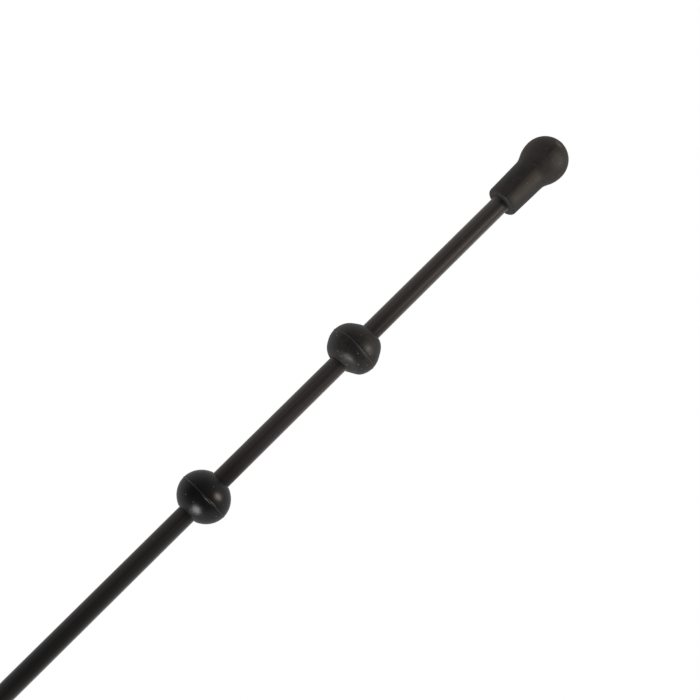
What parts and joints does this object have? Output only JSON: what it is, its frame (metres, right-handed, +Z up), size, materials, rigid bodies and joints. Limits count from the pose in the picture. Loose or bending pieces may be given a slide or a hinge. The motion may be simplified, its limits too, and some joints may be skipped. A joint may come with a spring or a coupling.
{
  "type": "devil stick",
  "caption": "Straight slim baton with flattened rubber balls threaded on each half and a bulb-ended rubber cap pushed over each end.",
  "frame": {"origin": "on the rod's axis at the middle of the stick, its balance point", "axes": "+X along the rod towards end a, +Z up when the stick lies on its balls"},
  "size_m": [0.6, 0.022, 0.022],
  "materials": {
    "rod_fibreglass": "satin pultruded fibreglass rod, near black, with fine lengthwise fibre lines",
    "ball_rubber": "moulded black rubber, satin, with a mould parting line round the middle",
    "cap_rubber": "matte moulded black rubber with a warm cast and a lengthwise parting line"
  },
  "bodies": {
    "rod": {"core_rod": "rod_fibreglass"},
    "inner_ball_a": {"inner_ball_a": "ball_rubber"},
    "outer_ball_a": {"outer_ball_a": "ball_rubber"},
    "end_cap_a": {"end_cap_a": "cap_rubber"},
    "inner_ball_b": {"inner_ball_b": "ball_rubber"},
    "outer_ball_b": {"outer_ball_b": "ball_rubber"},
    "end_cap_b": {"end_cap_b": "cap_rubber"}
  },
  "joints": [
    {"name": "inner_ball_a_slide", "type": "slide", "parent": "rod", "child": "inner_ball_a", "axis": [1, 0, 0], "range_m": [-0.079, 0.032]},
    {"name": "outer_ball_a_slide", "type": "slide", "parent": "rod", "child": "outer_ball_a", "axis": [1, 0, 0], "range_m": [-0.032, 0.079]},
    {"name": "end_cap_a_pull", "type": "slide", "parent": "rod", "child": "end_cap_a", "axis": [1, 0, 0], "range_m": [0, 0.03]},
    {"name": "inner_ball_b_slide", "type": "slide", "parent": "rod", "child": "inner_ball_b", "axis": [-1, 0, 0], "range_m": [-0.079, 0.032]},
    {"name": "outer_ball_b_slide", "type": "slide", "parent": "rod", "child": "outer_ball_b", "axis": [-1, 0, 0], "range_m": [-0.032, 0.079]},
    {"name": "end_cap_b_pull", "type": "slide", "parent": "rod", "child": "end_cap_b", "axis": [-1, 0, 0], "range_m": [0, 0.03]}
  ]
}
